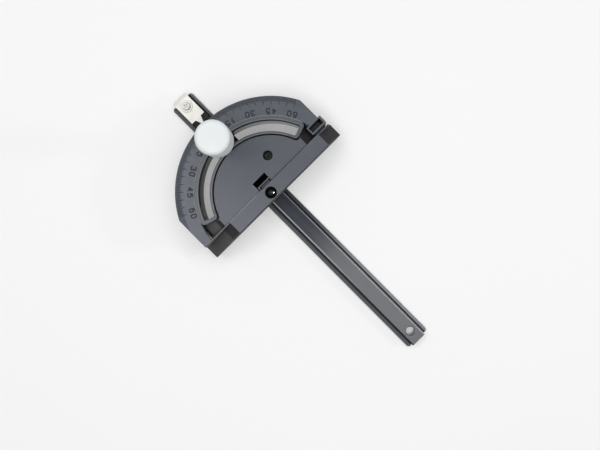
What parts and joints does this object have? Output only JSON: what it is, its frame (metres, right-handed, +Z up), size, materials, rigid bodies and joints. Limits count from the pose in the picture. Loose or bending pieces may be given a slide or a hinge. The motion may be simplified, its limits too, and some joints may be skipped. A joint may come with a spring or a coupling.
{
  "type": "miter gauge",
  "caption": "Miter gauge: a T-section slide bar carries a half-moon protractor head with a fence, a pointer plate, and a tall handle that clamps the head at the chosen angle.",
  "frame": {"origin": "on the pivot axis of the head, at the underside of the slide bar", "axes": "+Z up out of the table slot, +Y along the bar's long end, which the fence faces, +X to the side so that the axes are right-handed"},
  "size_m": [0.1341, 0.2643, 0.111],
  "materials": {
    "bar_finish": "dark grey satin coating on a rolled T section",
    "head_finish": "dark blue-grey semi-gloss moulding with fine texture",
    "black_steel": "glossy black oxide",
    "zinc_plate": "bright zinc plate",
    "handle_plastic": "pale grey-white smooth plastic"
  },
  "bodies": {
    "bar_assembly": {"miter_bar": "bar_finish", "pivot_rivet": "black_steel", "pointer_plate": "zinc_plate", "pointer_washer": "zinc_plate", "pointer_screw": "zinc_plate"},
    "head": {"protractor_head": "head_finish", "stop_screw": "black_steel"},
    "clamp_ring": {"clamp_washer": "zinc_plate"},
    "handle": {"handle_grip": "handle_plastic", "handle_stud": "zinc_plate"}
  },
  "joints": [
    {"name": "miter_swing", "type": "hinge", "parent": "bar_assembly", "child": "head", "pos_m": [0, 0, 0.02], "axis": [0, 0, 1], "range_deg": [-60, 60]},
    {"name": "handle_lift", "type": "slide", "parent": "bar_assembly", "child": "clamp_ring", "axis": [0, 0, 1], "range_m": [0, 0.008]},
    {"name": "handle_turn", "type": "hinge", "parent": "clamp_ring", "child": "handle", "pos_m": [0, -0.0488, 0.04], "axis": [0, 0, 1], "range_deg": [0, 2880]}
  ],
  "couplings": [
    {"joint": "handle_turn", "follows": "handle_lift", "rad_per_m": 6283.2}
  ]
}
